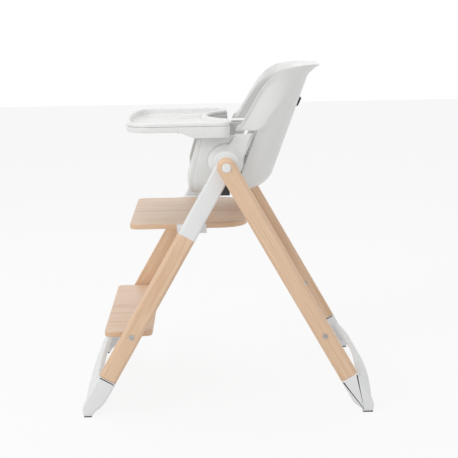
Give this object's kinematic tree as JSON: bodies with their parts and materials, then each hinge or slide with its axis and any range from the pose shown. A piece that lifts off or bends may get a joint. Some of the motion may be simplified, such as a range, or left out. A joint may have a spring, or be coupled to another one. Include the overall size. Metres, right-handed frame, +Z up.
{
  "type": "baby high chair",
  "caption": "Baby high chair with a wooden A-frame on white feet, two plywood boards, a moulded bucket seat and a sliding tray.",
  "frame": {"origin": "centre of the chair's box on the floor", "axes": "+Z up, -Y the way the child faces, +X the child's left"},
  "size_m": [0.58, 0.7625, 0.883],
  "materials": {
    "beech": "clear lacquer",
    "plywood": "satin lacquer",
    "white_plastic": "satin moulded",
    "steel": "plated",
    "nylon": "natural nylon",
    "dark_plastic": "moulded",
    "glide_rubber": "soft",
    "pad_cover": "coated fabric",
    "webbing": "woven"
  },
  "bodies": {
    "front_frame": {"front_leg_left": "beech", "front_leg_right": "beech", "front_arm_left": "white_plastic", "front_arm_right": "white_plastic", "front_foot_left": "white_plastic", "front_foot_right": "white_plastic", "front_glide_left": "glide_rubber", "front_glide_right": "glide_rubber", "front_floor_bar": "white_plastic", "front_leg_bolts": "steel", "pivot_pin_left": "steel", "pivot_pin_right": "steel", "spreader_stop_left": "dark_plastic", "spreader_stop_right": "dark_plastic", "upper_board": "plywood", "lower_board": "plywood", "upper_board_bracket_left": "white_plastic", "upper_board_bracket_right": "white_plastic"},
    "rear_frame": {"rear_leg_left": "beech", "rear_leg_right": "beech", "rear_foot_left": "white_plastic", "rear_foot_right": "white_plastic", "rear_glide_left": "glide_rubber", "rear_glide_right": "glide_rubber", "rear_floor_bar": "white_plastic", "rear_leg_bolts": "steel", "pivot_bush_left": "nylon", "pivot_bush_right": "nylon", "pivot_cap_left": "white_plastic", "pivot_cap_right": "white_plastic"},
    "seat": {"seat_tub": "white_plastic", "back_shell": "white_plastic", "side_carrier_left": "white_plastic", "side_carrier_right": "white_plastic", "back_pad": "pad_cover", "seat_pad": "pad_cover", "tray_rail_left": "white_plastic", "tray_rail_right": "white_plastic", "shoulder_strap_left": "webbing", "shoulder_strap_right": "webbing", "waist_strap_left": "webbing", "waist_strap_right": "webbing", "crotch_strap": "webbing", "buckle": "dark_plastic", "harness_anchor": "dark_plastic"},
    "tray": {"tray_base": "white_plastic", "tray_insert": "white_plastic"},
    "tray_latch": {"tray_latch": "white_plastic"},
    "recline_grip": {"recline_grip": "dark_plastic"},
    "buckle_button": {"buckle_button": "dark_plastic"}
  },
  "joints": [
    {"name": "rear_fold", "type": "hinge", "parent": "front_frame", "child": "rear_frame", "pos_m": [0, 0, 0.64], "axis": [1, 0, 0], "range_deg": [-42, 0]},
    {"name": "seat_recline", "type": "hinge", "parent": "front_frame", "child": "seat", "pos_m": [0, 0, 0.64], "axis": [1, 0, 0], "range_deg": [-15, 0]},
    {"name": "tray_slide", "type": "slide", "parent": "seat", "child": "tray", "axis": [0, -1, 0], "range_m": [0, 0.05]},
    {"name": "tray_latch_squeeze", "type": "hinge", "parent": "tray", "child": "tray_latch", "pos_m": [0, -0.098, 0.718], "axis": [1, 0, 0], "range_deg": [0, 8], "stiffness_Nm_per_rad": 1.5, "springref_deg": -5.73},
    {"name": "recline_grip_pull", "type": "slide", "parent": "seat", "child": "recline_grip", "axis": [0, 0.5932, 0.8051], "range_m": [0, 0.006], "stiffness_N_per_m": 600, "springref_m": -0.003},
    {"name": "buckle_press", "type": "slide", "parent": "seat", "child": "buckle_button", "axis": [0, 1, 0], "range_m": [0, 0.003], "stiffness_N_per_m": 800, "springref_m": -0.001}
  ]
}
